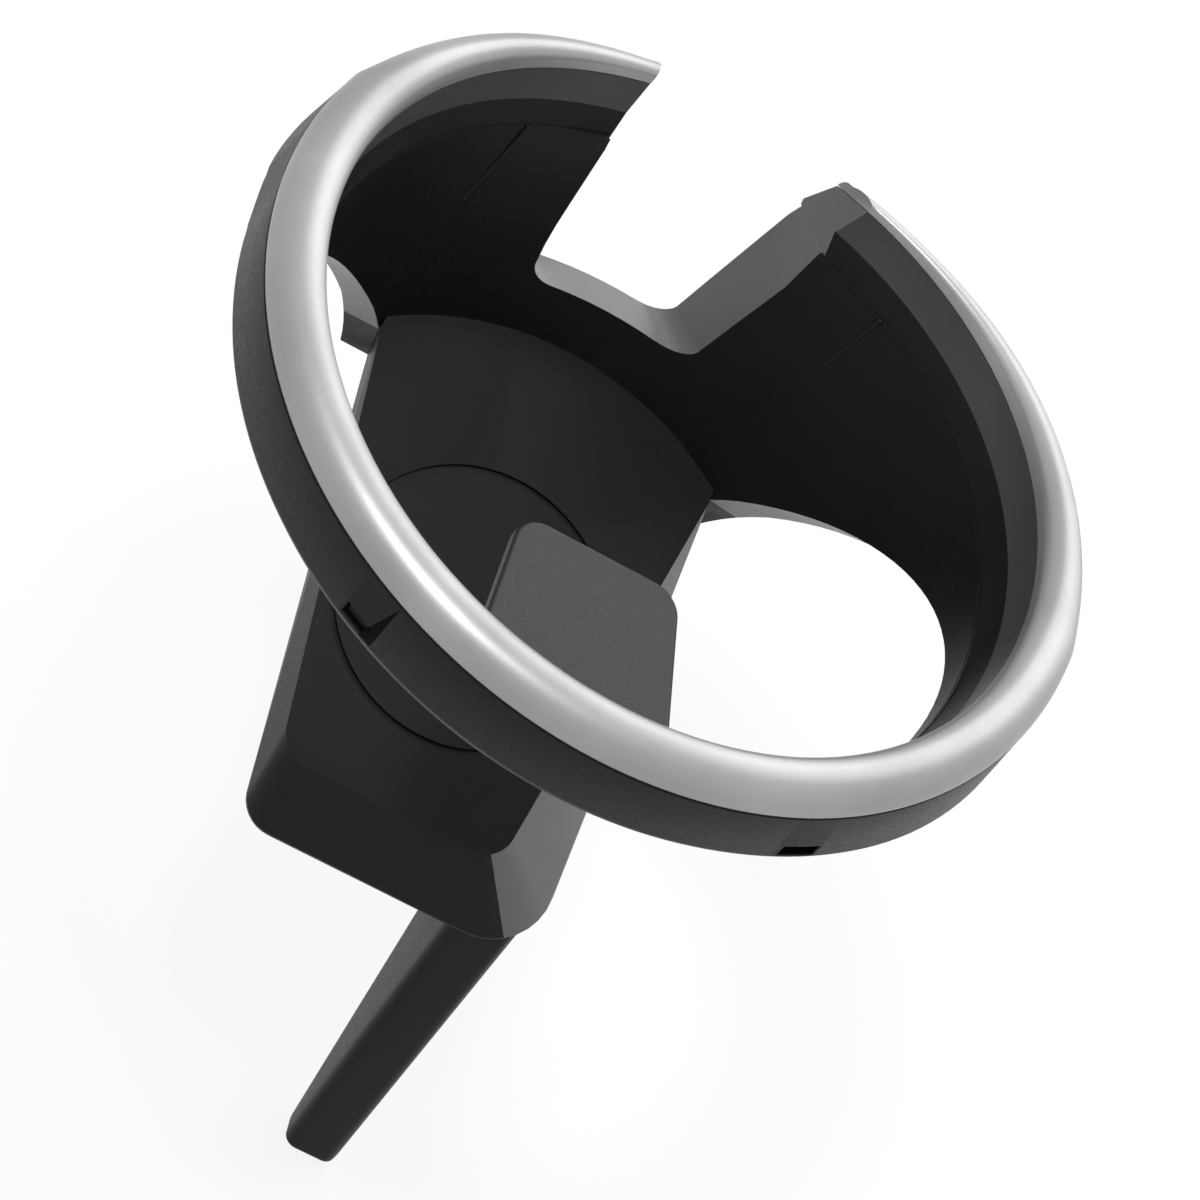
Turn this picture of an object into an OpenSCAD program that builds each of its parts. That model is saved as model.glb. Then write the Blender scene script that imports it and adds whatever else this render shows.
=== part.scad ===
// Car cup holder: a C-shaped ring with a trim bezel, a notched back wall,
// a sloping floor, a cup-retaining flap and a tongue for the console slot.
// Sizes are in millimetres. +Z is up, -Y is the front with the flap.
// The origin is the centre of the ring, where the bezel meets the collar.

/* [Ring] */
// outer radius of the collar and the bezel
ring_r = 47; // [44:0.5:50]
// height of the collar's straight outer band
band_h = 6; // [4:0.5:7]
// height of the collar below the bezel, chamfer included
collar_h = 9; // [7.5:0.5:10]
// how far the collar's lower chamfer comes in
collar_chamfer = 1.4; // [1:0.2:2.4]
// width of the ring, from its bore to its outside
ring_w = 5.8; // [5.4:0.1:6.2]
// height of the bore's land below the bezel, where a cup's rim is centred
land_h = 4; // [3:0.5:4.5]
// half width of the gap in the ring for a mug's handle
gap_half = 14; // [12:0.2:16]
// how far the ring's outside is drawn in at the gap
back_taper = 2.4; // [1:0.1:3]
// slope of the bezel's top down to the gap, in degrees
back_fall = 4.3; // [1:0.1:4.5]
// how far back the bezel's top stays level and the seat's rib runs
level_y = 6; // [0:1:12]

/* [Bezel] */
// height of the bezel above the collar
bezel_h = 3.4; // [3:0.1:5]
// how far the bezel's ridge lies inside the ring's outer edge
ridge_in = 3.4; // [2.8:0.1:3.8]
// height of the bezel's cylindrical bore
bezel_bore_h = 1.2; // [0.8:0.1:1.6]
// width of a snap leg
leg_w = 4; // [3:0.5:7]
// thickness of a snap leg
leg_t = 1.2; // [1:0.1:1.6]
// angle of the front snap legs from the front
leg_front_angle = 31.5; // [20:0.5:45]
// angle of the rear snap legs from the front
leg_rear_angle = 84; // [70:1:86]

/* [Back wall] */
// how far the wall's top stands inside the ring's bore
wall_inset = 1.2; // [0.8:0.1:1.6]
// how far the wall leans in down to the floor
wall_lean = 2; // [0.6:0.2:3]
// thickness of the wall
wall_t = 2.6; // [2:0.2:3.4]
// thickness of the wall round the handle notch
notch_wall_t = 3.8; // [3.4:0.2:5]
// half width of the thick wall round the handle notch
notch_wall_half = 19; // [17:0.5:21]
// depth of the floor's rear edge below the ring
floor_depth = 41; // [38:0.5:46]
// depth of the handle notch's sill below the ring
sill_depth = 33; // [28:0.5:36]
// half width of the handle notch at its sill
sill_half = 9.6; // [8:0.2:11]
// how far the notch sits to the left of the middle
notch_shift = 1.2; // [0:0.2:2]
// corner radius of the handle notch
notch_corner = 3; // [2:0.5:4]
// slant of the notch through the wall, in degrees
notch_slant = 38; // [0:1:45]
// radius of the side window's arch
window_r = 49; // [46:0.5:52]
// how far the centre of the side window's arch is in front of the wall
window_set = 52.5; // [49:0.5:56]
// centre of the side window's arch, below the ring
window_z = -61.5; // [-65:0.5:-58]
// how far behind the ring's front the skirt below the collar ends
skirt_end = 15; // [13:0.5:21]

/* [Floor] */
// slope of the floor down to the front
floor_slope = 18; // [10:1:20]
// half width of the floor at the back
floor_back_half = 21; // [18:0.2:22]
// half width of the floor at the lip
floor_lip_half = 14; // [12:0.2:16]
// length of the floor along its slope
floor_len = 57.8; // [52:0.2:62]
// thickness of the floor block
floor_t = 9; // [7:0.5:11]
// how far the nose leans out in front of the lip
nose_lean = 5.5; // [3:0.5:8]
// how far the block's right side comes out at the bottom
flank_out = 23; // [20:0.5:24]
// radius of the round groove in the floor
groove_r = 16; // [13:0.5:18]
// width of the round groove
groove_w = 0.8; // [0.5:0.1:1.2]
// depth of the round groove
groove_d = 0.5; // [0.3:0.1:0.8]
// how far down the floor the round groove is centred
groove_along = 33; // [30:0.5:36]

/* [Tongue] */
// thickness of the tongue at its root
tongue_t = 7.4; // [6:0.2:8]
// thickness of the tongue at its tip
tongue_tip_t = 6.4; // [5:0.2:7]
// depth of the tongue at its root, front to back
tongue_root_y = 22; // [18:1:26]
// depth of the tongue at its tip, front to back
tongue_tip_y = 5; // [4:0.5:8]
// how far the tongue's tip hangs below the floor's rear edge
tongue_drop = 71; // [60:1:76]

/* [Flap] */
// how far the hinge pin lies inside the ring's bore
pin_inset = 4.2; // [4.2:0.1:4.6]
// depth of the hinge pin below the ring
pin_depth = 9.6; // [9:0.1:10.5]
// radius of the hinge pin
pin_r = 1; // [0.8:0.1:1.2]
// length of the flap from the pin to its tip
flap_len = 24; // [20:0.5:26]
// thickness of the flap's plate
flap_t = 1.8; // [1.4:0.1:2.2]
// half width of the flap at its hinge
flap_root_half = 11.6; // [11:0.1:12]
// half width of the flap at its tip
flap_tip_half = 9.6; // [8:0.2:11]
// radius of the flap's hinge knuckle
knuckle_r = 2.2; // [2:0.1:2.3]
// drop of the flap's plate below the pin
flap_drop = 1.7; // [1.2:0.1:2]

/* [Spring] */
// wire radius of a torsion spring
wire_r = 0.35; // [0.25:0.05:0.4]
// turns of a torsion spring
spring_turns = 5; // [3:1:5]

/* [Clearances] */
// radial clearance of the pin in the flap
pin_clear = 0.05; // [0.02:0.01:0.1]
// clearance between a snapped part and its seat
snap_clear = 0.1; // [0.05:0.05:0.2]
// side clearance between the knuckle, the springs and the lugs
side_clear = 0.4; // [0.3:0.05:0.6]
// clearance between the flap's plate and its stops
stop_clear = 0.05; // [0.03:0.01:0.1]

/* [Hidden] */
$fn = 96;
overlap = 0.5;
far = 200;
hull_fn = 32;

// derived sizes of the ring
collar_bore_r = ring_r - ring_w;
bezel_bore_r = collar_bore_r;
bezel_ridge_r = ring_r - ridge_in;
band_r_low = ring_r - collar_chamfer;
relief = 1.5;
rib_set = 0.4;
rib_w = 1.4;
rib_h = 1.6;
rib_in = bezel_ridge_r - rib_set;
rib_out = rib_in + rib_w;
leg_cover = 0.9;
leg_slot_t = leg_t + 2 * snap_clear;
leg_r = ring_r - leg_cover;
leg_len = 7;
hook_h = 1.4;
hook_out = 0.6;

// derived sizes of the wall and its cuts
wall_top_r = collar_bore_r - wall_inset;
wall_foot_r = wall_top_r - wall_lean;
wall_skirt = 16;
wall_foot_z = -floor_depth - wall_skirt;
lip_r = wall_top_r + 0.4;
window_y = wall_foot_r - window_set;
skirt_end_y = skirt_end - ring_r;
notch_pivot = 1;
notch_before = 10;
notch_through = 2 * notch_before + 6;
notch_edge_r = 0.5;
tongue_tip_z = -floor_depth - tongue_drop;
pin_y = collar_bore_r - pin_inset;

// derived sizes of the hinge
lug_in = flap_root_half + side_clear;
lug_w = 2.6;
lug_r = 2.7;
pin_len = 2 * (lug_in + lug_w);
knuckle_half = 7.4;
lug_foot_y = 3.4;
lug_foot_z = 1.6;
lug_foot_top = land_h + 1.2;
lug_root_y = 4.8;
stop_in = 11.3;
stop_w = 1.2;
stop_l = 1;
stop_h = 2;
stop_gap = 0.9;

// derived sizes of the springs: turns lie a little into each other so that a coil is one piece
coil_gap = 0.2;
coil_r = pin_r + coil_gap + wire_r;
coil_pitch = 2 * wire_r * 0.93;
spring_leg = 4.5;
spring_foot = 4;

module polar(angle) {
    rotate([0, 0, angle]) children();
}

// an upright post with its foot at z0 and its top at z1
module post(x, y, r, z0, z1) {
    translate([x, y, z0]) cylinder(r = r, h = z1 - z0, $fn = hull_fn);
}

// the frame of the sloping floor, its top face at z = 0
module floor_frame() {
    translate([0, wall_foot_r, -floor_depth]) rotate([floor_slope, 0, 0]) children();
}

// the collar's section: band, chamfer, bore and the rib that carries the bezel
module collar_section() {
    polygon([
        [collar_bore_r, 0],
        [ring_r, 0],
        [ring_r, -band_h],
        [band_r_low, -collar_h],
        [lip_r, -collar_h],
        [lip_r, -collar_h + 1],
        [collar_bore_r + relief, -collar_h + 1],
        [collar_bore_r + relief, -land_h],
        [collar_bore_r, -land_h],
    ]);
}

// the outer shape of the ring: round in front and drawn in towards the gap
module ring_outline() {
    translate([0, -back_taper, -far / 2]) cylinder(r = ring_r, h = far);
    translate([-far / 2, -far, -far / 2]) cube([far, far, far]);
}

// the rib on the collar that sits in the bezel's groove, grown all round by a clearance
module seat_rib(grow) {
    intersection() {
        rotate_extrude() translate([rib_in - grow, -overlap])
            square([rib_out - rib_in + 2 * grow, rib_h + grow + overlap]);
        translate([-far / 2, -far, -far / 2]) cube([far, far + level_y + grow, far]);
    }
}

// the gap through the ring at the back, with a slant on its right side
module ring_gap() {
    inner_y = sqrt(collar_bore_r * collar_bore_r - gap_half * gap_half);
    reach = 9;
    slant = reach * tan(notch_slant);
    right = gap_half + 1;
    translate([0, inner_y, -collar_h - 1]) linear_extrude(collar_h + bezel_h + 2) polygon([
        [-gap_half, -reach],
        [right + slant, -reach],
        [right - slant, reach],
        [-gap_half, reach],
    ]);
}

// one slot through the collar for a snap leg
module leg_slot() {
    translate([-leg_w / 2 - snap_clear, -leg_r - snap_clear, -far / 2])
        cube([leg_w + 2 * snap_clear, leg_slot_t, far / 2 + overlap]);
    translate([-leg_w / 2 - snap_clear, -ring_r - 1, -leg_len - snap_clear])
        cube([leg_w + 2 * snap_clear, ring_r - leg_r + 1 + leg_t, hook_h + 2 * snap_clear]);
}

module leg_places() {
    for (side = [-1, 1]) {
        polar(side * leg_front_angle) children();
        polar(side * leg_rear_angle) children();
    }
}

module wall_section(thick) {
    polygon([
        [wall_top_r, -collar_h + overlap],
        [wall_foot_r, -floor_depth],
        [wall_foot_r, wall_foot_z],
        [wall_foot_r + thick, wall_foot_z],
        [wall_foot_r + thick, -floor_depth],
        [wall_top_r + thick, -collar_h - 2],
        [wall_top_r + thick, -collar_h + overlap],
    ]);
}

// everything in front of the side windows' arches
module window_cut() {
    arch_top = window_z + window_r;
    translate([-far / 2, 0, 0]) rotate([90, 0, 90]) linear_extrude(far) {
        translate([window_y, window_z]) circle(r = window_r, $fn = 160);
        polygon([
            [window_y, arch_top],
            [skirt_end_y, -collar_h + 2 * overlap],
            [-far, -collar_h + 2 * overlap],
            [-far, -far],
            [window_y, -far],
        ]);
    }
}

// the handle notch: a tapered slot with rounded lower corners, slanting through the wall
module notch_cut() {
    half = sill_half - notch_corner;
    squash = cos(notch_slant);
    top_half = gap_half - notch_edge_r;
    translate([-notch_shift, wall_foot_r + notch_pivot, 0]) rotate([0, 0, notch_slant]) hull() {
        for (side = [-1, 1]) {
            translate([side * half * squash, -notch_before, -sill_depth + notch_corner])
                rotate([-90, 0, 0]) cylinder(r = notch_corner, h = notch_through, $fn = hull_fn);
            translate([side * top_half * squash, -notch_before, -collar_h + notch_edge_r + 0.1])
                rotate([-90, 0, 0]) cylinder(r = notch_edge_r, h = notch_through, $fn = hull_fn);
        }
    }
}

module back_wall() {
    difference() {
        union() {
            rotate_extrude() wall_section(wall_t);
            intersection() {
                rotate_extrude() wall_section(notch_wall_t);
                translate([-notch_wall_half, 0, -far / 2]) cube([2 * notch_wall_half, far, far]);
            }
        }
        window_cut();
        floor_frame() translate([-far / 2, -far / 2, -floor_t - far]) cube([far, far, far]);
    }
}

// the floor block, tapered to the nose, with its right side leaning out
module floor_block() {
    nose_r = 4;
    corner_r = 8;
    flank_r = 2;
    side_y = -8.4;
    rear_y = 6;
    nose_left = floor_lip_half - 0.8;
    nose_y = -floor_len - nose_lean;
    intersection() {
        floor_frame() hull() {
            for (side = [-1, 1]) {
                post(side * (floor_lip_half - nose_r), -floor_len + nose_r, nose_r, -overlap, 0);
                post(side * (floor_back_half - flank_r), side_y, flank_r, -overlap, 0);
                post(side * (floor_back_half - flank_r), rear_y, flank_r, -overlap, 0);
            }
            translate([0, 0, -floor_t]) {
                post(nose_r - nose_left, nose_y + nose_r, nose_r, 0, overlap);
                post(flank_out - corner_r, nose_y + corner_r, corner_r, 0, overlap);
                post(flank_out - flank_r, side_y, flank_r, 0, overlap);
                post(flank_r - floor_back_half, rear_y, flank_r, 0, overlap);
                post(floor_back_half - flank_r, rear_y, flank_r, 0, overlap);
            }
        }
        translate([0, 0, -far / 2]) cylinder(r = wall_foot_r + wall_t, h = far);
    }
}

// the tongue: a blade that tapers from the floor block's underside to its tip
module tongue() {
    edge_r = 1.5;
    root_x = 13.6;
    root_set = 55.5;
    root_y = wall_foot_r - root_set;
    tip_x = 15.4;
    tip_lean = 7.5;
    tip_y = root_y - tip_lean;
    fall = tan(floor_slope);
    under = floor_depth + floor_t / cos(floor_slope) - 0.4;
    hull() {
        for (dx = [0, 1]) {
            for (dy = [0, 1]) {
                y = root_y + edge_r + dy * (tongue_root_y - 2 * edge_r);
                z = -under - (wall_foot_r - y) * fall;
                post(root_x + edge_r + dx * (tongue_t - 2 * edge_r), y, edge_r, z - 1, z);
                post(tip_x + edge_r + dx * (tongue_tip_t - 2 * edge_r),
                    tip_y + edge_r + dy * (tongue_tip_y - 2 * edge_r), edge_r,
                    tongue_tip_z, tongue_tip_z + 1);
            }
        }
    }
}

// one lug of the flap's hinge, standing inward from the collar, with its stop
module lug() {
    translate([lug_in, -pin_y, -pin_depth]) rotate([0, 90, 0]) cylinder(r = lug_r, h = lug_w);
    translate([lug_in, -pin_y - lug_foot_y, -pin_depth - lug_foot_z])
        cube([lug_w, lug_foot_y, pin_depth + lug_foot_z - lug_foot_top]);
    translate([lug_in, -pin_y - lug_root_y, -collar_h + overlap])
        cube([lug_w, lug_root_y, collar_h - overlap - lug_foot_top]);
    translate([stop_in, -pin_y + pin_r + stop_gap, -pin_depth - flap_drop + stop_clear])
        cube([stop_w, stop_l, stop_h]);
}

module holder_body() {
    color([0.07, 0.07, 0.075]) difference() {
        union() {
            difference() {
                intersection() {
                    rotate_extrude() collar_section();
                    ring_outline();
                }
                ring_gap();
            }
            seat_rib(0);
            difference() {
                back_wall();
                notch_cut();
            }
            floor_block();
            tongue();
            lug();
            mirror([1, 0, 0]) lug();
        }
        leg_places() leg_slot();
        translate([-pin_len / 2 - 0.5, -pin_y, -pin_depth]) rotate([0, 90, 0])
            cylinder(r = pin_r, h = pin_len + 1);
        floor_frame() translate([0, -groove_along, -groove_d]) difference() {
            cylinder(r = groove_r + groove_w / 2, h = 2);
            translate([0, 0, -1]) cylinder(r = groove_r - groove_w / 2, h = 4);
        }
    }
}

// the rounded slope from the ring's outer edge to the bezel's ridge
function outer_curve(steps = 8) = [for (i = [0 : steps]) let (a = 90 * i / steps)
    [bezel_ridge_r + (ring_r - bezel_ridge_r) * cos(a), bezel_h * sin(a)]];

// the bezel's section: a rounded outer slope, a ridge and a rounded inner slope
module bezel_section() {
    steps = 6;
    inner = [for (i = [1 : steps]) let (a = 90 * i / steps)
        [bezel_ridge_r - (bezel_ridge_r - bezel_bore_r) * sin(a),
            bezel_bore_h + (bezel_h - bezel_bore_h) * cos(a)]];
    polygon(concat(outer_curve(), inner, [[bezel_bore_r, 0]]));
}

// one snap leg with its hook
module snap_leg() {
    translate([-leg_w / 2, -leg_r, -leg_len]) cube([leg_w, leg_t, leg_len + 1]);
    translate([-leg_w / 2, -leg_r - hook_out, -leg_len]) cube([leg_w, leg_t, hook_h]);
}

module bezel() {
    color([0.62, 0.62, 0.63]) {
        difference() {
            intersection() {
                rotate_extrude() bezel_section();
                ring_outline();
            }
            ring_gap();
            seat_rib(snap_clear);
            translate([-far / 2, level_y, bezel_h]) rotate([-back_fall, 0, 0])
                cube([far, far, far]);
        }
        leg_places() snap_leg();
    }
}

module flap_blade() {
    tip_r = 3;
    root_y = -pin_y + knuckle_r;
    tip_y = -pin_y + flap_len;
    translate([0, 0, -pin_depth - flap_drop - flap_t]) linear_extrude(flap_t) hull() {
        for (side = [-1, 1]) {
            translate([side * (flap_tip_half - tip_r), tip_y - tip_r]) circle(r = tip_r, $fn = hull_fn);
            translate([side * (flap_root_half - 1), root_y + 1]) circle(r = 1, $fn = hull_fn);
        }
    }
}

module flap() {
    color([0.09, 0.09, 0.095]) difference() {
        union() {
            flap_blade();
            translate([-knuckle_half, -pin_y, -pin_depth]) rotate([0, 90, 0])
                cylinder(r = knuckle_r, h = 2 * knuckle_half);
            translate([-knuckle_half, -pin_y, -pin_depth - flap_drop - flap_t])
                cube([2 * knuckle_half, knuckle_r + 3, flap_t]);
        }
        translate([-far / 2, -pin_y, -pin_depth]) rotate([0, 90, 0])
            cylinder(r = pin_r + pin_clear, h = far);
    }
}

module flap_pin() {
    color([0.6, 0.6, 0.6]) translate([-pin_len / 2, -pin_y, -pin_depth]) rotate([0, 90, 0])
        cylinder(r = pin_r, h = pin_len);
}

// the left spring: close turns round the pin, a leg under the flap and a leg on the collar
module torsion_spring() {
    x0 = knuckle_half + side_clear + wire_r;
    x1 = x0 + (spring_turns - 1) * coil_pitch;
    bend_y = knuckle_r - 0.5;
    bend_z = -flap_drop - flap_t - wire_r - stop_clear;
    fall = coil_r + bend_z;
    slant = sqrt(bend_y * bend_y + fall * fall);
    color([0.55, 0.55, 0.55]) translate([0, -pin_y, -pin_depth]) {
        rotate([0, 90, 0]) translate([0, 0, -x1]) rotate_extrude($fn = 48)
            for (turn = [0 : spring_turns - 1])
                translate([coil_r, turn * coil_pitch]) circle(r = wire_r, $fn = 12);
        translate([-x0, 0, -coil_r]) rotate([-90 + atan2(fall, bend_y), 0, 0])
            cylinder(r = wire_r, h = slant, $fn = 12);
        translate([-x0, bend_y, bend_z]) sphere(r = wire_r, $fn = 12);
        translate([-x0, bend_y, bend_z]) rotate([-90, 0, 0])
            cylinder(r = wire_r, h = spring_foot, $fn = 12);
        translate([-x1, -coil_r, 0]) cylinder(r = wire_r, h = spring_leg, $fn = 12);
    }
}

module spring_left() {
    torsion_spring();
}

module spring_right() {
    mirror([1, 0, 0]) torsion_spring();
}

holder_body();
bezel();
flap();
flap_pin();
spring_left();
spring_right();
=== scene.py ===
# %% [markdown]
# # A car cup holder
# The part is a C-shaped ring on a notched black wall. A satin silver trim sits on the ring,
# a sloping floor holds the cup up, a small flap presses on it, and a tongue plugs into the console.
# The solids come from the CAD frame. The visible skin is made here with bmesh operators, so that
# edges get the small radii of a moulding and each surface gets a finish of its own.

# %% Load the frame
import math

import bmesh
import bpy
from mathutils import Matrix, Vector


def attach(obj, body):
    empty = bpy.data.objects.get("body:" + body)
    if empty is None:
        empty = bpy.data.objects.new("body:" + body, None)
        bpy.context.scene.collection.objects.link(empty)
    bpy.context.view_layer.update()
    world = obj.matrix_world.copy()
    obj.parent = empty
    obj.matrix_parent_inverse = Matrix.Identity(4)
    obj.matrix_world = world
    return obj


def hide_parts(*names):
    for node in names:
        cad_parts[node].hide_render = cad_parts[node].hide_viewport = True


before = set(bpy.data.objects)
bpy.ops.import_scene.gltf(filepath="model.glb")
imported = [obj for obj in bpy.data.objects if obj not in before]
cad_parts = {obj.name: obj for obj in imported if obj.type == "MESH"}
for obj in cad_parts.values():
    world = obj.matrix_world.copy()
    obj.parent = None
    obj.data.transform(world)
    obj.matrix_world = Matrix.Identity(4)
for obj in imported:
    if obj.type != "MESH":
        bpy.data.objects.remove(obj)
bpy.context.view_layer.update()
MM = 0.001

# %% [markdown]
# ## Sizes
# A maker's drawing comes first. These are the sizes that the CAD part was built with, repeated in
# millimetres, so that a new piece lands on the solid that it stands for.

# %% Sizes shared by several pieces
RING_R = 47.0
BORE_R = 41.2
RIDGE_R = 43.6
BEZEL_H = 3.4
COLLAR_H = 9.0
GAP_HALF = 14.0
NOTCH_SLANT = 38.0
PIN_Y = -37.0
PIN_Z = -9.6
FLAP_TOP = PIN_Z - 1.7
print("ring diameter", 2 * RING_R, "mm, bore", 2 * BORE_R, "mm")

# %% [markdown]
# ## The camera
# The photo is taken from the front left, 44 degrees above the ring, with a long lens. Three unit
# vectors give the camera's right, up and backward directions, which is the plainest way to write
# down a view with some roll in it. The shift stays at zero, because the photo is framed evenly.

# %% Camera
right = Vector((0.8569, 0.1954, 0.4769)).normalized()
up = Vector((-0.4473, 0.7416, 0.4999)).normalized()
back = Vector((-0.2560, -0.6417, 0.7230)).normalized()
camera = bpy.data.objects.new("camera", bpy.data.cameras.new("camera"))
bpy.context.collection.objects.link(camera)
turn = Matrix((right, up, back)).transposed()
camera.matrix_world = Matrix.Translation((-0.12711, -0.33761, 0.34784)) @ turn.to_4x4()
camera.data.sensor_width = 36.0
camera.data.lens = 150.0
camera.data.clip_start = 0.01
camera.data.clip_end = 20.0
bpy.context.scene.camera = camera
print("camera at", [round(v, 3) for v in camera.matrix_world.translation])

# %% [markdown]
# ## Helpers
# Each piece is drawn in millimetres in a bmesh and then shrunk to metres, so that the numbers read
# like a drawing. `finish_piece` does what every piece needs: it merges doubles, turns the faces
# outward, makes the object, lets it ride on its CAD body and hides the CAD part that it stands for.


# %% Make a piece from a bmesh
def finish_piece(bm, name, node, body="holder", smooth_angle=35.0):
    bmesh.ops.remove_doubles(bm, verts=bm.verts, dist=0.0005)
    bmesh.ops.recalc_face_normals(bm, faces=bm.faces)
    bmesh.ops.scale(bm, vec=(MM, MM, MM), verts=bm.verts)
    mesh = bpy.data.meshes.new(name)
    bm.to_mesh(mesh)
    bm.free()
    piece = bpy.data.objects.new(name, mesh)
    bpy.context.collection.objects.link(piece)
    mesh.shade_smooth()
    mesh.set_sharp_from_angle(angle=math.radians(smooth_angle))
    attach(piece, body)
    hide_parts(node)
    print(name, len(mesh.polygons), "faces, box mm", [round(d / MM, 1) for d in piece.dimensions])
    return piece


# %% [markdown]
# A moulded edge is never knife sharp: the mould is cut with a small radius and the light runs along
# it as a thin bright line. A Bevel modifier limited by angle rounds only the real edges.


# %% Round the edges of a piece
def round_edges(piece, width, angle=30.0, segments=3):
    bevel = piece.modifiers.new("moulded edges", "BEVEL")
    bevel.limit_method = "ANGLE"
    bevel.angle_limit = math.radians(angle)
    bevel.width = width * MM
    bevel.segments = segments
    bevel.use_clamp_overlap = True
    bevel.harden_normals = True
    return bevel


# %% [markdown]
# Some shapes are cut with a tool: a slot through a band, for instance. The tool is a closed mesh
# of its own, and a Boolean modifier takes it away from the piece. The modifier is applied at once,
# so that the tool can be thrown away.


# %% Cut a piece with a tool
def apply_modifiers(piece):
    graph = bpy.context.evaluated_depsgraph_get()
    cut = bpy.data.meshes.new_from_object(piece.evaluated_get(graph), depsgraph=graph)
    piece.modifiers.clear()
    old, piece.data = piece.data, cut
    bpy.data.meshes.remove(old)


def cut_with(piece, tool_bm):
    bmesh.ops.recalc_face_normals(tool_bm, faces=tool_bm.faces)
    bmesh.ops.scale(tool_bm, vec=(MM, MM, MM), verts=tool_bm.verts)
    mesh = bpy.data.meshes.new("cutting tool")
    tool_bm.to_mesh(mesh)
    tool_bm.free()
    tool = bpy.data.objects.new("cutting tool", mesh)
    bpy.context.collection.objects.link(tool)
    cut = piece.modifiers.new("cut", "BOOLEAN")
    cut.operation = "DIFFERENCE"
    cut.solver = "EXACT"
    cut.object = tool
    bpy.context.view_layer.update()
    apply_modifiers(piece)
    bpy.data.objects.remove(tool)
    bpy.data.meshes.remove(mesh)
    piece.data.shade_smooth()
    piece.data.set_sharp_from_angle(angle=math.radians(35.0))
    print(piece.name, "after the cut:", len(piece.data.polygons), "faces")


# %% [markdown]
# A box is the simplest tool and the start of many small pieces. `create_cube` makes it, and a
# scale and a move put it between two corners.


# %% A box between two corners
def box_into(bm, low, high):
    made = bmesh.ops.create_cube(bm, size=1.0)["verts"]
    size = [h - lo for lo, h in zip(low, high)]
    middle = [(h + lo) / 2 for lo, h in zip(low, high)]
    bmesh.ops.scale(bm, vec=size, verts=made)
    bmesh.ops.translate(bm, vec=middle, verts=made)
    return made


# %% [markdown]
# ## The ring's path
# Both the collar and its trim follow the same C. Towards the handle gap the real ring gets narrower
# and sinks, so that its ends look like blades. The right half starts to do so early and the left
# half late. `share` says how far a value has come between two others, from 0 to 1.


# %% How the ring changes towards the gap
RIGHT_FROM, RIGHT_TO = -6.0, 41.0
LEFT_FROM, LEFT_TO, LEFT_PART = 17.0, 42.0, 0.8
END_NARROW = 3.3
INNER_SINK, EXTRA_SINK, SINK_WIDTH = 1.2, 2.1, 3.2


def share(value, low, high):
    return min(1.0, max(0.0, (value - low) / (high - low)))


def towards_gap(x, y):
    if x > 0:
        return share(y, RIGHT_FROM, RIGHT_TO)
    return LEFT_PART * share(y, LEFT_FROM, LEFT_TO)


def narrow(x, y, r):
    return END_NARROW * towards_gap(x, y) ** 0.75 * share(r, BORE_R, RING_R) ** 1.5


def sink(x, y, r):
    return towards_gap(x, y) ** 2 * (INNER_SINK + EXTRA_SINK * share(r, BORE_R, BORE_R + SINK_WIDTH))


print("at the right end the ring is", narrow(1, RIGHT_TO, RING_R), "mm narrower and",
      sink(1, RIGHT_TO, RING_R), "mm lower")


# %% [markdown]
# The ends of the C lie on two planes: straight on the left of the gap, slanted on its right. A point
# at radius r meets a plane at distance d from the axis where the angle from the plane's normal is
# acos(d / r), so each corner of the last sections can be slid round the ring onto the plane.


# %% Where the two ends of the ring are
LEFT_REACH = 1.2
RIGHT_DISTANCE, RIGHT_DRAFT = 35.3, 0.13


def left_end(r):
    return math.pi - math.acos((GAP_HALF - LEFT_REACH) / r)


def right_end(r, z=0.0):
    distance = RIGHT_DISTANCE + RIGHT_DRAFT * z
    return math.radians(NOTCH_SLANT) + math.acos(distance / r) + 2 * math.pi


print("left end at", round(math.degrees(left_end(RING_R)), 1), "degrees,",
      "right end at", round(math.degrees(right_end(RING_R)) - 360, 1))


# %% [markdown]
# A section is drawn as a closed loop of edges. `spin` carries it round the ring as a tube, the two
# open ends are filled, and every point is drawn in and lowered as the path says. The sections near
# each end are slid onto the end planes a little at a time, so that no step gets long.


# %% Carry a section round the ring
SLIDE = 0.15
MIDDLE_R = 44.0
FOOT_WIDER = 0.2


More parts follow.
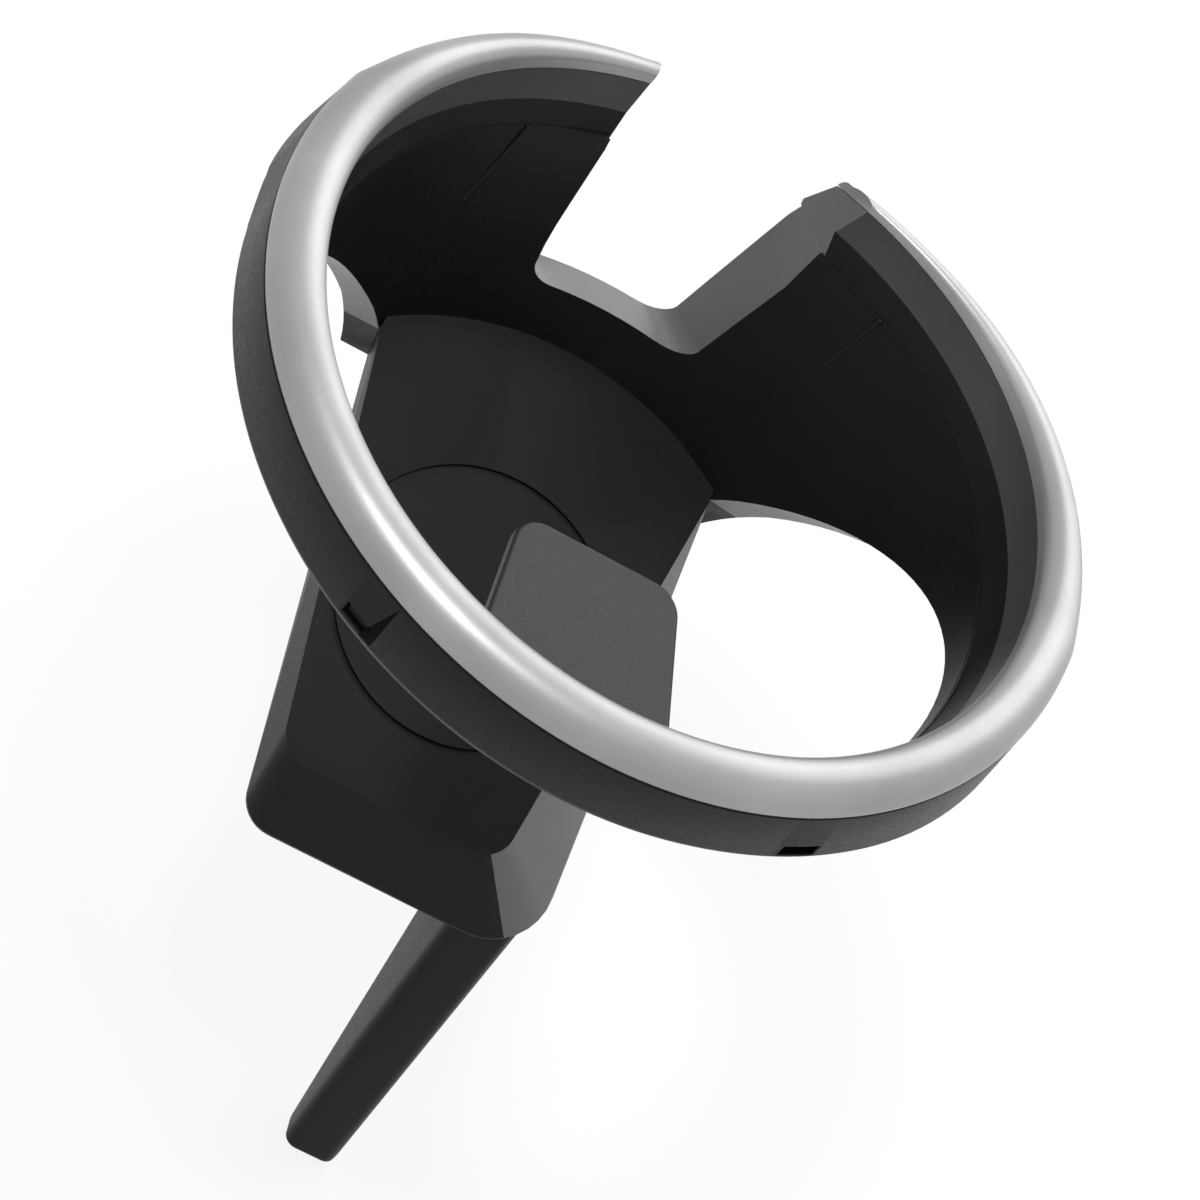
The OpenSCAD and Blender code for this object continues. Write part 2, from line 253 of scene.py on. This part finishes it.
def ring_from(section, steps, depth, flatten=0.0):
    bm = bmesh.new()
    corners = [bm.verts.new((r, 0.0, z)) for r, z in section]
    loop = [bm.edges.new((a, b)) for a, b in zip(corners, corners[1:] + corners[:1])]
    first, last = left_end(RING_R), right_end(BORE_R)
    bmesh.ops.rotate(bm, verts=bm.verts, cent=(0, 0, 0), matrix=Matrix.Rotation(first, 3, "Z"))
    bmesh.ops.spin(bm, geom=corners + loop, cent=(0, 0, 0), axis=(0, 0, 1), angle=last - first,
                   steps=steps, use_duplicate=False)
    bmesh.ops.holes_fill(bm, edges=[e for e in bm.edges if e.is_boundary], sides=0)
    for v in bm.verts:
        r = math.hypot(v.co.x, v.co.y)
        angle = (math.atan2(v.co.y, v.co.x) - first + 1e-4) % (2 * math.pi) - 1e-4 + first
        along = (angle - first) / (last - first)
        near_first = max(0.0, 1 - along / SLIDE)
        near_last = max(0.0, 1 - (1 - along) / SLIDE)
        x, y, z = MIDDLE_R * math.cos(angle), MIDDLE_R * math.sin(angle), v.co.z
        lower = sink(x, y, r) * share(z, -depth, -0.33 * depth)
        r -= narrow(x, y, r) * (1.0 - FOOT_WIDER * share(-z, 0.0, COLLAR_H))
        z *= 1.0 - flatten * towards_gap(x, y) ** 3
        angle += near_first * (left_end(r) - first) + near_last * (right_end(r, z - lower) - last)
        v.co = Vector((r * math.cos(angle), r * math.sin(angle), z - lower))
    return bm


# %% [markdown]
# ## The collar
# The collar is the black band under the trim. Its section has a straight outer side, a chamfer at
# the foot, and an inner face that is upright at the top and then runs on into the wall. Only the
# points near the top sink towards the gap, because the foot stays level on the wall. In front the
# inner face steps back below its top, which leaves the flap's root room to turn. In two places
# the photo shows the band's foot a little wider than its top, so the points there are moved out.

# %% The collar band
BAND_FOOT = -5.6
STEP_BACK_R = 42.8
WIDER_FOOT = ((156.0, 36.0, 1.1), (-35.0, 40.0, 0.7))
collar_section = [(BORE_R, -0.05), (46.8, -0.05), (RING_R, -0.25), (RING_R, -7.3), (46.75, -7.9),
                  (45.9, -COLLAR_H), (40.55, -9.9), (39.85, -9.6), (BORE_R - 0.1, BAND_FOOT)]
bm = ring_from(collar_section, 172, depth=8.9)
for v in bm.verts:
    in_front = share(-v.co.y, 22.0, 34.0)
    if v.co.z < BAND_FOOT + 0.1 and v.co.xy.length < 43.0:
        v.co.xy *= 1.0 + in_front * (STEP_BACK_R / v.co.xy.length - 1.0)
        v.co.z += in_front * (1.2 if v.co.z > -7.0 else 0.7)
    turned = math.degrees(math.atan2(v.co.y, v.co.x))
    widest = (RING_R - 0.05) / abs(math.cos(math.radians(turned)))
    for middle, width, most in WIDER_FOOT:
        off = min(1.0, abs(turned - middle) / width)
        if off < 1.0 and v.co.xy.length > MIDDLE_R:
            wider = v.co.xy.length + most * math.cos(off * math.pi / 2) ** 2 * share(-v.co.z, 0.0, 6.0)
            v.co.xy *= min(wider, widest) / v.co.xy.length
collar = finish_piece(bm, "collar_band", "holder_body")

# %% [markdown]
# The trim has four snap legs. Two small windows in front, in the collar's foot, show the hooks of two
# of them. They are cut with boxes that are turned to their places round the ring.

# %% Cut the windows for the snap legs
LEG_ANGLES = (-84.0, -31.5, 31.5, 84.0)
bm = bmesh.new()
for angle in LEG_ANGLES[1:3]:
    window = box_into(bm, (-2.1, -RING_R - 1.0, -7.1), (2.1, -44.9, -5.5))
    bmesh.ops.rotate(bm, verts=window, cent=(0, 0, 0),
                     matrix=Matrix.Rotation(math.radians(angle), 3, "Z"))
cut_with(collar, bm)
round_edges(collar, 0.22)

# %% [markdown]
# ## The trim
# The trim's section is a low wave: a broad rounded slope outside, a ridge, and a short rounded slope
# inside. Two quarter ellipses draw it. The whole trim sinks with the collar towards the gap, and
# gets flatter, so that its top edge runs out in a thin blade as on the real part.

# %% The silver trim
OUTER_STEPS, INNER_STEPS = 14, 8
RIM, INNER_EDGE = 0.12, 1.2
quarter = math.pi / 2
trim_section = [(RING_R - RIM, 0.0), (RING_R, RIM)]
for i in range(1, OUTER_STEPS + 1):
    a = quarter * i / OUTER_STEPS
    height = RIM + (BEZEL_H - RIM) * math.sin(a)
    trim_section.append((RIDGE_R + (RING_R - RIDGE_R) * math.cos(a), height))
for i in range(1, INNER_STEPS + 1):
    a = quarter * i / INNER_STEPS
    height = INNER_EDGE + (BEZEL_H - INNER_EDGE) * math.cos(a)
    trim_section.append((RIDGE_R - (RIDGE_R - BORE_R) * math.sin(a), height))
trim_section.append((BORE_R, 0.0))
bm = ring_from(trim_section, 200, depth=0.01, flatten=0.5)
trim = finish_piece(bm, "silver_trim", "bezel", smooth_angle=50.0)

# %% [markdown]
# The trim is held by four snap legs with hooks. Each is two small boxes, turned to its place. They
# belong to the same moulding, but the paint never reaches them, so they are a piece of their own
# in bare black plastic.

# %% Snap legs
bm = bmesh.new()
for angle in LEG_ANGLES:
    leg = box_into(bm, (-2.0, -46.1, -7.0), (2.0, -44.9, 0.5))
    leg += box_into(bm, (-2.0, -46.4, -7.0), (2.0, -45.5, -5.9))
    bmesh.ops.rotate(bm, verts=leg, cent=(0, 0, 0),
                     matrix=Matrix.Rotation(math.radians(angle), 3, "Z"))
legs = finish_piece(bm, "snap_legs", "bezel")
round_edges(legs, 0.15)

# %% [markdown]
# ## The wall, the floor and the tongue
# Below the collar the moulding is one piece with an arched window on each side, a slanting handle
# notch, a sloping floor and the tongue. The CAD solid already has this shape, so a copy of it is
# merged, its flat faces are joined into whole ones, the ring is taken off with a plane cut, and a
# bevel gives every edge its radius. The left edge of the notch leans a little into it at the top.

# %% Lower body from the CAD solid
NOTCH_LEAN = 1.3
bm = bmesh.new()
bm.from_mesh(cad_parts["holder_body"].data)
bmesh.ops.scale(bm, vec=(1 / MM,) * 3, verts=bm.verts)
bmesh.ops.remove_doubles(bm, verts=bm.verts, dist=0.002)
for v in bm.verts:
    if v.co.y > 30.0 and -18.0 < v.co.x < -8.0:
        v.co.x += NOTCH_LEAN * share(v.co.z, -26.0, -10.0) * share(v.co.x, -18.0, -14.0)
bmesh.ops.bisect_plane(bm, geom=bm.verts[:] + bm.edges[:] + bm.faces[:], dist=0.0001,
                       plane_co=(0, 0, -COLLAR_H - 0.02), plane_no=(0, 0, 1), clear_outer=True)
bmesh.ops.holes_fill(bm, edges=[e for e in bm.edges if e.is_boundary], sides=0)
bmesh.ops.dissolve_limit(bm, angle_limit=math.radians(0.6), verts=bm.verts, edges=bm.edges,
                         use_dissolve_boundaries=False)
body = finish_piece(bm, "wall_floor_tongue", "holder_body")
round_edges(body, 0.45, angle=28.0)

# %% [markdown]
# Two faint ribs stand on the inside of the wall, beside the notch. Each is a thin box that leans
# with the wall and lies almost all in it, so that only a soft line shows.

# %% Ribs on the wall
RIBS = ((-33.0, -35.0, -22.0), (33.5, 30.0, -29.0))
bm = bmesh.new()
for top_angle, foot_angle, foot in RIBS:
    rib = box_into(bm, (-0.35, 39.55, foot), (0.35, 41.0, -9.0))
    for v in rib:
        if v.co.z < -12:
            v.co.y -= 0.6
            v.co.x += 39.0 * math.sin(math.radians(foot_angle - top_angle))
    bmesh.ops.rotate(bm, verts=rib, cent=(0, 0, 0),
                     matrix=Matrix.Rotation(math.radians(-top_angle), 3, "Z"))
ribs = finish_piece(bm, "wall_ribs", "holder_body")
round_edges(ribs, 0.3)

# %% [markdown]
# ## The hinge of the flap
# Two lugs on the collar carry a steel pin. Each lug is a short cylinder round the pin with a foot
# that runs up to the collar, and a small stop beside it holds the flap level from above.

# %% Hinge lugs
LUG_IN, LUG_W, LUG_R = 12.0, 2.6, 2.7
across = Matrix.Rotation(quarter, 4, "Y")
bm = bmesh.new()
for side in (-1, 1):
    spot = Matrix.Translation((side * (LUG_IN + LUG_W / 2), PIN_Y, PIN_Z)) @ across
    bmesh.ops.create_cone(bm, cap_ends=True, segments=48, radius1=LUG_R, radius2=LUG_R,
                          depth=LUG_W, matrix=spot)
    inner, outer = sorted((side * LUG_IN, side * (LUG_IN + LUG_W)))
    box_into(bm, (inner, PIN_Y - 3.4, -11.2), (outer, PIN_Y, -5.2))
    box_into(bm, (inner, PIN_Y - 4.8, -8.5), (outer, PIN_Y, -5.2))
    inner, outer = sorted((side * 11.3, side * 12.5))
    box_into(bm, (inner, PIN_Y + 1.9, FLAP_TOP + 0.05), (outer, PIN_Y + 2.9, FLAP_TOP + 2.05))
lugs = finish_piece(bm, "hinge_lugs", "holder_body")
round_edges(lugs, 0.2)

# %% [markdown]
# ## The flap
# The flap is a plate 1.8 mm thick, a little narrower at its tip, with a barrel along its back edge
# that turns on the pin. A box is tapered, its two tip corners are rounded with a bevel, and the
# long edges get a soft radius, because a cup slides over them. A narrow root joins it to the barrel.

# %% The flap's plate
FLAP_T, FLAP_LEN, FLAP_HALF = 1.8, 24.0, 11.4
BARREL_R, BARREL_BORE, BARREL_HALF = 2.2, 1.05, 7.4
ROOT_TO = PIN_Y + 5.0
bm = bmesh.new()
plate = box_into(bm, (-FLAP_HALF, PIN_Y + BARREL_R, FLAP_TOP - FLAP_T),
                 (FLAP_HALF, PIN_Y + FLAP_LEN, FLAP_TOP))
for v in plate:
    if v.co.y > ROOT_TO:
        v.co.x += 0.1 if v.co.x < 0 else -2.2
        v.co.x *= 0.9
bm.normal_update()
upright = [e for e in bm.edges if abs(e.verts[0].co.z - e.verts[1].co.z) > 1]
corners = [e for e in upright if e.verts[0].co.y > ROOT_TO]
bmesh.ops.bevel(bm, geom=corners, offset=3.0, segments=8, profile=0.5, affect="EDGES", material=-1)
box_into(bm, (-BARREL_HALF, PIN_Y, FLAP_TOP - FLAP_T + 0.02), (BARREL_HALF, ROOT_TO, FLAP_TOP - 0.02))
print("plate with", len(corners), "tip corners rounded")

# %% [markdown]
# The barrel is two tubes' worth of loops bridged into a ring: an outer circle, an inner one for the
# pin, and the same again at the other end.

# %% The flap's barrel
loops = []
for x in (-BARREL_HALF, BARREL_HALF):
    for radius in (BARREL_R, BARREL_BORE):
        spot = Matrix.Translation((x, PIN_Y, PIN_Z)) @ across
        ring = bmesh.ops.create_circle(bm, segments=48, radius=radius, matrix=spot)["verts"]
        loops.append(list({e for v in ring for e in v.link_edges}))
for a, b in ((0, 1), (2, 3), (0, 2), (1, 3)):
    bmesh.ops.bridge_loops(bm, edges=loops[a] + loops[b])
flap = finish_piece(bm, "cup_flap", "flap", body="flap")
round_edges(flap, 0.5, segments=4)

# %% [markdown]
# ## Finishes
# Every finish is a Principled shader whose colour, roughness and bump vary a little through noise
# on Object coordinates, so that no surface is one flat value. Object coordinates are in metres
# here, so a noise scale of 2000 gives grains of half a millimetre.


# %% A finish with grain
def finish(name, colour, roughness, grain_scale, grain_bump, spread=0.06, metallic=0.0, level=0.5):
    material = bpy.data.materials.new(name)
    material.use_nodes = True
    nodes, links = material.node_tree.nodes, material.node_tree.links
    shader = nodes["Principled BSDF"]
    shader.inputs["Metallic"].default_value = metallic
    shader.inputs["Specular IOR Level"].default_value = level
    place = nodes.new("ShaderNodeTexCoord")
    grain = nodes.new("ShaderNodeTexNoise")
    grain.inputs["Scale"].default_value = grain_scale
    grain.inputs["Detail"].default_value = 3.0
    links.new(place.outputs["Object"], grain.inputs["Vector"])
    clouds = nodes.new("ShaderNodeTexNoise")
    clouds.inputs["Scale"].default_value = 60.0
    clouds.inputs["Detail"].default_value = 4.0
    links.new(place.outputs["Object"], clouds.inputs["Vector"])
    tint = nodes.new("ShaderNodeValToRGB")
    tint.color_ramp.elements[0].position, tint.color_ramp.elements[1].position = 0.3, 0.7
    tint.color_ramp.elements[0].color = (*[c * 0.88 for c in colour], 1)
    tint.color_ramp.elements[1].color = (*[c * 1.12 for c in colour], 1)
    links.new(clouds.outputs["Fac"], tint.inputs["Fac"])
    links.new(tint.outputs["Color"], shader.inputs["Base Color"])
    rough = nodes.new("ShaderNodeMapRange")
    rough.inputs["From Min"].default_value, rough.inputs["From Max"].default_value = 0.3, 0.7
    rough.inputs["To Min"].default_value = roughness - spread
    rough.inputs["To Max"].default_value = roughness + spread
    links.new(grain.outputs["Fac"], rough.inputs["Value"])
    links.new(rough.outputs["Result"], shader.inputs["Roughness"])
    bump = nodes.new("ShaderNodeBump")
    bump.inputs["Strength"].default_value = grain_bump
    bump.inputs["Distance"].default_value = 0.00004
    links.new(grain.outputs["Fac"], bump.inputs["Height"])
    links.new(bump.outputs["Normal"], shader.inputs["Normal"])
    print("finish", name, "roughness about", roughness)
    return material


# %% [markdown]
# The body is black plastic with a fine etched grain. The flap is the same plastic from a smoother
# mould, so it looks a shade lighter. The trim is plastic with a satin silver paint: small metal
# flakes give it a soft wide highlight. The pin and springs are plain drawn steel.

# %% The finishes
etched_black = finish("etched_black_plastic", (0.006, 0.006, 0.0065), 0.42, 2600.0, 0.3, level=0.15)
smooth_black = finish("smooth_black_plastic", (0.015, 0.015, 0.0155), 0.45, 2600.0, 0.05, level=0.3)
# Painted light: a lighter black for faces that catch side light and mirror the white at a grazing angle.
painted_light_black = finish("painted_light_black_plastic", (0.14, 0.14, 0.141), 0.4, 2600.0, 0.1)
# Partly painted shade: a mid grey for the trim's silver skirt, dark with the shade of the bore.
skirt_and_shade_black = finish("skirt_and_shade_black_plastic", (0.05, 0.05, 0.0505), 0.42, 2600.0, 0.1, level=0.3)
silver_paint = finish("satin_silver_paint", (0.34, 0.34, 0.345), 0.4, 5200.0, 0.15, spread=0.04,
                      metallic=0.6)
drawn_steel = finish("drawn_steel", (0.5, 0.5, 0.5), 0.3, 4000.0, 0.2, metallic=1.0)
for piece in (collar, legs, body, ribs, lugs):
    piece.data.materials.append(etched_black)
flap.data.materials.append(smooth_black)
trim.data.materials.append(silver_paint)

# %% [markdown]
# The faces inside the handle notch and the windows, the flank of the floor and the right end of the
# collar get a lighter black with painted light: it stands in for side light and for the white that they
# mirror at a grazing angle. The upright inner face of the collar gets a mid grey with painted shade:
# it stands for the trim's silver skirt, dark with the shade of the bore. They are picked by place and
# direction and get their own finish.

# %% The faces with painted light and shade
slant = math.radians(NOTCH_SLANT)
sideways = Vector((math.cos(slant), math.sin(slant), 0.0))


depthwise = Vector((-math.sin(slant), math.cos(slant), 0.0))


def paint_faces_lighter(piece, material, chosen):
    piece.data.materials.append(material)
    number = len(piece.data.materials) - 1
    picked = [f for f in piece.data.polygons if chosen(f.center / MM, f.normal)]
    for face in picked:
        face.material_index = number
    print(piece.name, "faces in", material.name + ":", len(picked))


def on_notch(middle, normal):
    inside = middle.y > 33.0 and middle.z > -34.0 and -16.0 < middle.x < 22.0
    faces_in = normal.z > 0.3 or normal.dot(sideways) < -0.95
    return inside and faces_in and abs(normal.dot(depthwise)) < 0.3


def on_window(middle, normal):
    from_arch = math.hypot(middle.y + 14.5, middle.z + 61.5)
    on_side = abs(middle.x) > 22.0 and middle.y > -33.0 and middle.z > -45.0
    return on_side and abs(normal.x) < 0.35 and from_arch < 49.6


def on_flank(middle, normal):
    chamfer = normal.x > 0.45 and normal.z > 0.4 and normal.y < -0.1
    return (chamfer or normal.x > 0.75) and middle.x > 8.0 and -72.0 < middle.z < -42.0 and middle.y < 31.0


# Painted light: the notch, window and flank faces get the lighter black for the light they catch.
paint_faces_lighter(body, painted_light_black, lambda m, n: on_notch(m, n) or on_window(m, n) or on_flank(m, n))


def on_end(middle, normal):
    near_plane = middle.y > 20.0 and middle.x > 0.0 and middle.dot(sideways) < RIGHT_DISTANCE + 0.3
    return near_plane and normal.dot(sideways) < -0.9


def on_bore(middle, normal):
    inward = normal.x * middle.x + normal.y * middle.y < -0.9 * middle.xy.length
    return inward and middle.xy.length > 41.0 and not on_end(middle, normal)


# Painted light: the right end face of the collar gets the lighter black for the light it catches.
paint_faces_lighter(collar, painted_light_black, on_end)
# Partly painted shade: the upright bore face under the trim gets the mid grey for the shaded silver skirt.
paint_faces_lighter(collar, skirt_and_shade_black, on_bore)

# %% [markdown]
# The pin and the springs are already right as CAD solids, so they stay as they are and only get
# their finish.

# %% The steel parts
for name in ("flap_pin", "spring_left", "spring_right"):
    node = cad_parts[name]
    node.data.materials.clear()
    node.data.materials.append(drawn_steel)
    print(name, "in", drawn_steel.name)

# %% [markdown]
# ## The studio
# The photo shows the part on pure white, with its grazing faces bright: the white surroundings
# mirror in them. The world is white for the camera and for mirror rays, and a plain grey for the
# rest, so it lights the part softly without washing it out.



# %% The rays that see plain white
def white_rays(tree):
    rays = tree.nodes.new("ShaderNodeLightPath")
    found = rays.outputs["Is Camera Ray"]
    for kind in ("Is Transmission Ray", "Is Glossy Ray"):
        either = tree.nodes.new("ShaderNodeMath")
        either.operation = "MAXIMUM"
        tree.links.new(found, either.inputs[0])
        tree.links.new(rays.outputs[kind], either.inputs[1])
        found = either.outputs[0]
    return found


# %% [markdown]
# One background is mixed into the other by that value: grey where it is 0 and white where it is 1.

# %% World
world = bpy.data.worlds.new("studio")
bpy.context.scene.world = world
world.use_nodes = True
nodes, links = world.node_tree.nodes, world.node_tree.links
nodes.clear()
out = nodes.new("ShaderNodeOutputWorld")
grey, white = nodes.new("ShaderNodeBackground"), nodes.new("ShaderNodeBackground")
grey.inputs["Color"].default_value = (1, 1, 1, 1)
grey.inputs["Strength"].default_value = 0.35
white.inputs["Color"].default_value = (1, 1, 1, 1)
white.inputs["Strength"].default_value = 1.0
mix = nodes.new("ShaderNodeMixShader")
links.new(white_rays(world.node_tree), mix.inputs["Fac"])
links.new(grey.outputs[0], mix.inputs[1])
links.new(white.outputs[0], mix.inputs[2])
links.new(mix.outputs[0], out.inputs["Surface"])
print("world: white to the camera,", grey.inputs["Strength"].default_value, "as a light")

# %% [markdown]
# The floor is a large pale sheet under the tongue's tip. For the camera it is mostly its own white,
# with a little of the real lighting left in, so that a faint shadow still says where the part is.

# %% Floor
FLOOR_Z = -0.1125
bm = bmesh.new()
bmesh.ops.create_grid(bm, x_segments=1, y_segments=1, size=6.0)
bmesh.ops.translate(bm, vec=(0, 0, FLOOR_Z), verts=bm.verts)
floor_mesh = bpy.data.meshes.new("studio_floor")
bm.to_mesh(floor_mesh)
bm.free()
studio_floor = bpy.data.objects.new("studio_floor", floor_mesh)
bpy.context.collection.objects.link(studio_floor)
paper = bpy.data.materials.new("white_paper")
paper.use_nodes = True
nodes, links = paper.node_tree.nodes, paper.node_tree.links
sheet = nodes["Principled BSDF"]
sheet.inputs["Base Color"].default_value = (0.9, 0.9, 0.9, 1)
sheet.inputs["Roughness"].default_value = 0.9
sheet.inputs["Specular IOR Level"].default_value = 0.0
glow = nodes.new("ShaderNodeEmission")
glow.inputs["Color"].default_value = (1, 1, 1, 1)
glow.inputs["Strength"].default_value = 1.0
part_white = nodes.new("ShaderNodeMath")
part_white.operation = "MULTIPLY"
part_white.inputs[1].default_value = 0.85
links.new(white_rays(paper.node_tree), part_white.inputs[0])
mix = nodes.new("ShaderNodeMixShader")
links.new(part_white.outputs[0], mix.inputs["Fac"])
links.new(sheet.outputs[0], mix.inputs[1])
links.new(glow.outputs[0], mix.inputs[2])
links.new(mix.outputs[0], nodes["Material Output"].inputs["Surface"])
floor_mesh.materials.append(paper)
print("floor at", FLOOR_Z / MM, "mm")


# %% [markdown]
# Three softboxes light the part. The key hangs above and to the left and draws the long highlight
# on the trim. The back one mirrors in the level faces, such as the flap and the notch's sill. The
# side one stands low behind the part, on the right, and mirrors in the far half of the trim.


# %% Softboxes
def softbox(name, place, size, power):
    lamp = bpy.data.lights.new(name, "AREA")
    lamp.shape = "SQUARE"
    lamp.size = size
    lamp.energy = power
    box = bpy.data.objects.new(name, lamp)
    bpy.context.collection.objects.link(box)
    box.location = place
    box.rotation_euler = (-Vector(place)).to_track_quat("-Z", "Y").to_euler()
    print("softbox", name, power, "W at", place)
    return box


softbox("key_light", (-0.23, -0.18, 0.86), 0.18, 5.0)
softbox("back_light", (0.30, 0.60, 0.75), 0.9, 3.5)
softbox("side_light", (0.45, 0.72, 0.33), 0.9, 4.0)

# %% [markdown]
# ## Finish
# The view transform stays plain, so that a colour renders about as it is written.

# %% The end
bpy.context.scene.view_settings.view_transform = "Standard"
